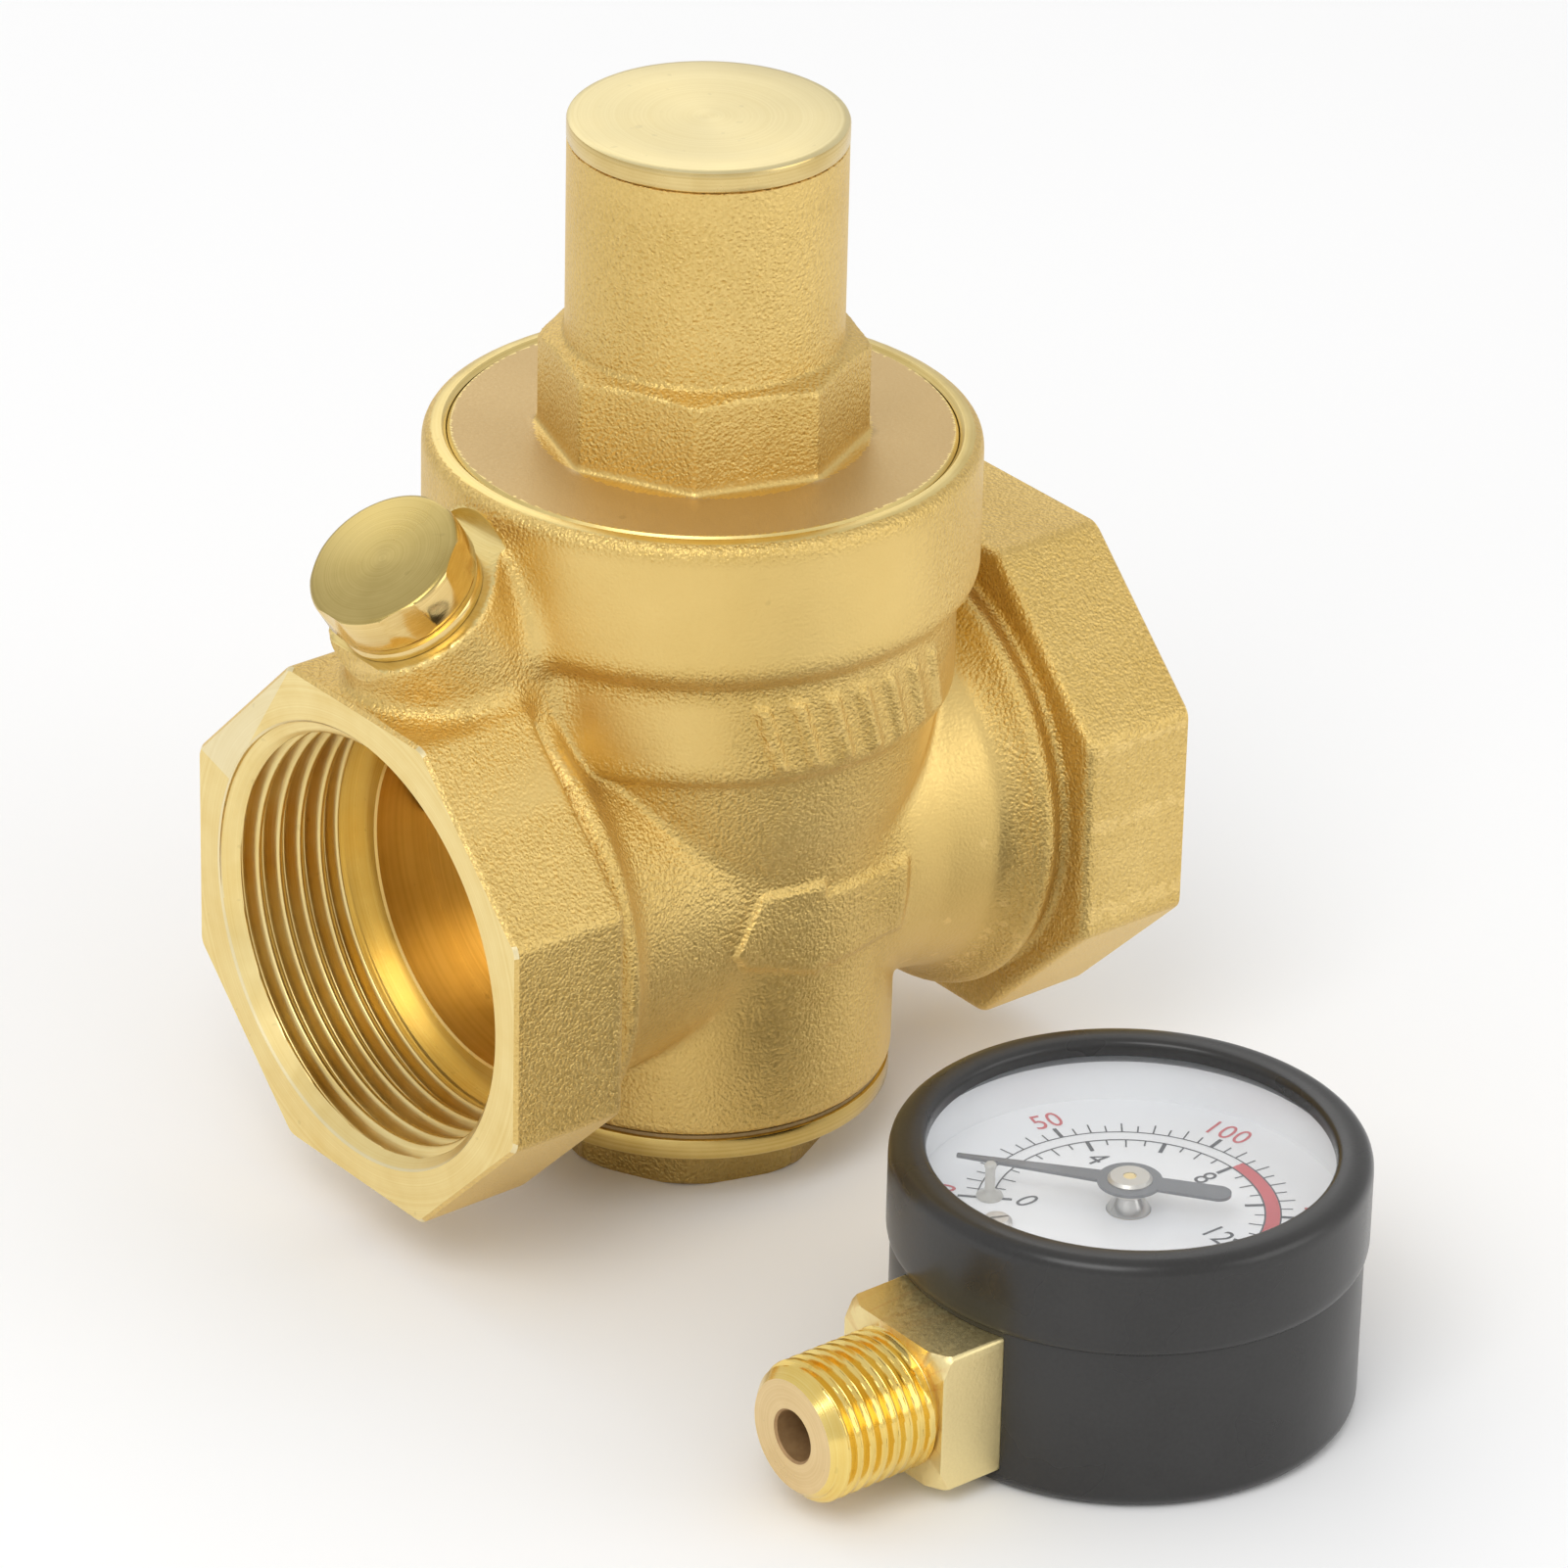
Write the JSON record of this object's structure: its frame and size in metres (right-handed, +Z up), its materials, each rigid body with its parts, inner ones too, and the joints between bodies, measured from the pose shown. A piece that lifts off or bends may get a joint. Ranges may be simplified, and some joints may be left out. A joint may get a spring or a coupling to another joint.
{
  "type": "water pressure regulator",
  "caption": "Brass in-line pressure reducing valve with octagonal threaded pipe ends, a screw-adjusted spring bonnet, a plugged gauge port and its small dial gauge lying beside it.",
  "frame": {"origin": "middle of the flat wrench head under the valve, at floor height", "axes": "+X along the pipe towards the inlet, +Z up the spring bonnet, -Y towards the loose gauge"},
  "size_m": [0.0803, 0.1073, 0.1015],
  "materials": {
    "cast_brass": "forged brass, blasted to a fine sandy satin",
    "turned_brass": "turned brass, bright with fine tool marks",
    "stainless": "turned stainless steel",
    "spring_steel": "drawn spring wire",
    "seal_rubber": "moulded nitrile rubber",
    "fibre_gasket": "pressed fibre sheet",
    "brass_washer": "polished soft brass washer",
    "gauge_black": "satin black enamel on pressed steel",
    "dial_white": "white printed dial",
    "window": "clear flat window",
    "clear_plastic": "clear moulded plastic",
    "white_plastic": "moulded white plastic",
    "pointer_grey": "dark grey paint"
  },
  "bodies": {
    "valve": {"valve_body": "cast_brass", "seat_ring": "stainless", "bonnet": "cast_brass", "bonnet_gasket": "fibre_gasket", "bottom_plug": "cast_brass", "bottom_plug_seal": "fibre_gasket", "main_spring": "spring_steel"},
    "cap_ring": {"cap_seal": "seal_rubber"},
    "cap": {"top_cap": "turned_brass"},
    "plate": {"spring_plate": "stainless"},
    "adjuster": {"adjusting_screw": "turned_brass"},
    "trim": {"piston": "turned_brass", "piston_seal": "seal_rubber", "valve_stem": "stainless", "stem_nut": "stainless", "disc_holder": "turned_brass", "disc_seal": "seal_rubber", "disc_retainer": "stainless", "disc_nut": "stainless", "balance_seal": "seal_rubber"},
    "port_washer": {"port_plug_seal": "brass_washer"},
    "port_stopper": {"port_plug": "turned_brass"},
    "gauge": {"gauge_case": "gauge_black", "gauge_bezel": "gauge_black", "gauge_window": "window", "window_gasket": "white_plastic", "dial_plate": "dial_white", "dial_ring": "white_plastic", "dial_screws": "stainless", "stop_pin": "clear_plastic", "gauge_socket": "turned_brass", "case_screws": "stainless", "bourdon_tube": "turned_brass", "lower_plate": "turned_brass", "upper_plate": "turned_brass", "plate_pillars": "turned_brass", "plate_screws": "stainless"},
    "needle": {"pointer": "pointer_grey", "pointer_hub": "stainless", "pinion_spindle": "turned_brass", "hairspring": "spring_steel"},
    "sector": {"sector_gear": "turned_brass", "sector_arbor": "stainless"},
    "link": {"link_rod": "turned_brass"},
    "tip": {"tube_tip": "turned_brass"}
  },
  "joints": [
    {"name": "cap_rise", "type": "slide", "parent": "valve", "child": "cap_ring", "axis": [0, 0, 1], "range_m": [0, 0.004]},
    {"name": "cap_turn", "type": "hinge", "parent": "cap_ring", "child": "cap", "pos_m": [0, 0, 0.0975], "axis": [0, 0, 1], "range_deg": [0, 960.5]},
    {"name": "adjuster_travel", "type": "slide", "parent": "valve", "child": "plate", "axis": [0, 0, 1], "range_m": [-0.005, 0.002]},
    {"name": "adjuster_turn", "type": "hinge", "parent": "plate", "child": "adjuster", "pos_m": [0, 0, 0.0895], "axis": [0, 0, 1], "range_deg": [-1200.5, 480.5]},
    {"name": "valve_stroke", "type": "slide", "parent": "valve", "child": "trim", "axis": [0, 0, 1], "range_m": [0, 0.004], "stiffness_N_per_m": 12000, "springref_m": -0.02, "deforming": ["main_spring"]},
    {"name": "port_plug_rise", "type": "slide", "parent": "valve", "child": "port_washer", "axis": [-0.5417, 0, 0.8406], "range_m": [0, 0.008]},
    {"name": "port_plug_turn", "type": "hinge", "parent": "port_washer", "child": "port_stopper", "pos_m": [-0.03562, 0, 0.06832], "axis": [-0.5417, 0, 0.8406], "range_deg": [0, 2160]},
    {"name": "gauge_lift", "type": "slide", "parent": "valve", "child": "gauge", "axis": [0, 0, 1], "range_m": [0, 0.05]},
    {"name": "pointer_turn", "type": "hinge", "parent": "gauge", "child": "needle", "pos_m": [0.00113, -0.06068, 0.0205], "axis": [0, 0, 1], "range_deg": [-262.5, 0]},
    {"name": "sector_swing", "type": "hinge", "parent": "gauge", "child": "sector", "pos_m": [-0.00967, -0.06068, 0.009], "axis": [0, 0, 1], "range_deg": [0, 32.82]},
    {"name": "link_swing", "type": "hinge", "parent": "sector", "child": "link", "pos_m": [-0.01307, -0.06068, 0.01], "axis": [0, 0, 1], "range_deg": [-32.82, 0]},
    {"name": "tube_flex", "type": "slide", "parent": "gauge", "child": "tip", "axis": [0.2819, -0.9594, 0], "range_m": [0, 0.00192], "stiffness_N_per_m": 1500, "springref_m": -0.0002, "deforming": ["bourdon_tube"]}
  ],
  "couplings": [
    {"joint": "cap_turn", "follows": "cap_rise", "rad_per_m": 4188.8},
    {"joint": "adjuster_turn", "follows": "adjuster_travel", "rad_per_m": 4188.8},
    {"joint": "port_plug_turn", "follows": "port_plug_rise", "rad_per_m": 4699.5},
    {"joint": "pointer_turn", "follows": "tube_flex", "rad_per_m": -2385.3},
    {"joint": "sector_swing", "follows": "tube_flex", "rad_per_m": 298.16},
    {"joint": "link_swing", "follows": "tube_flex", "rad_per_m": -298.16}
  ]
}
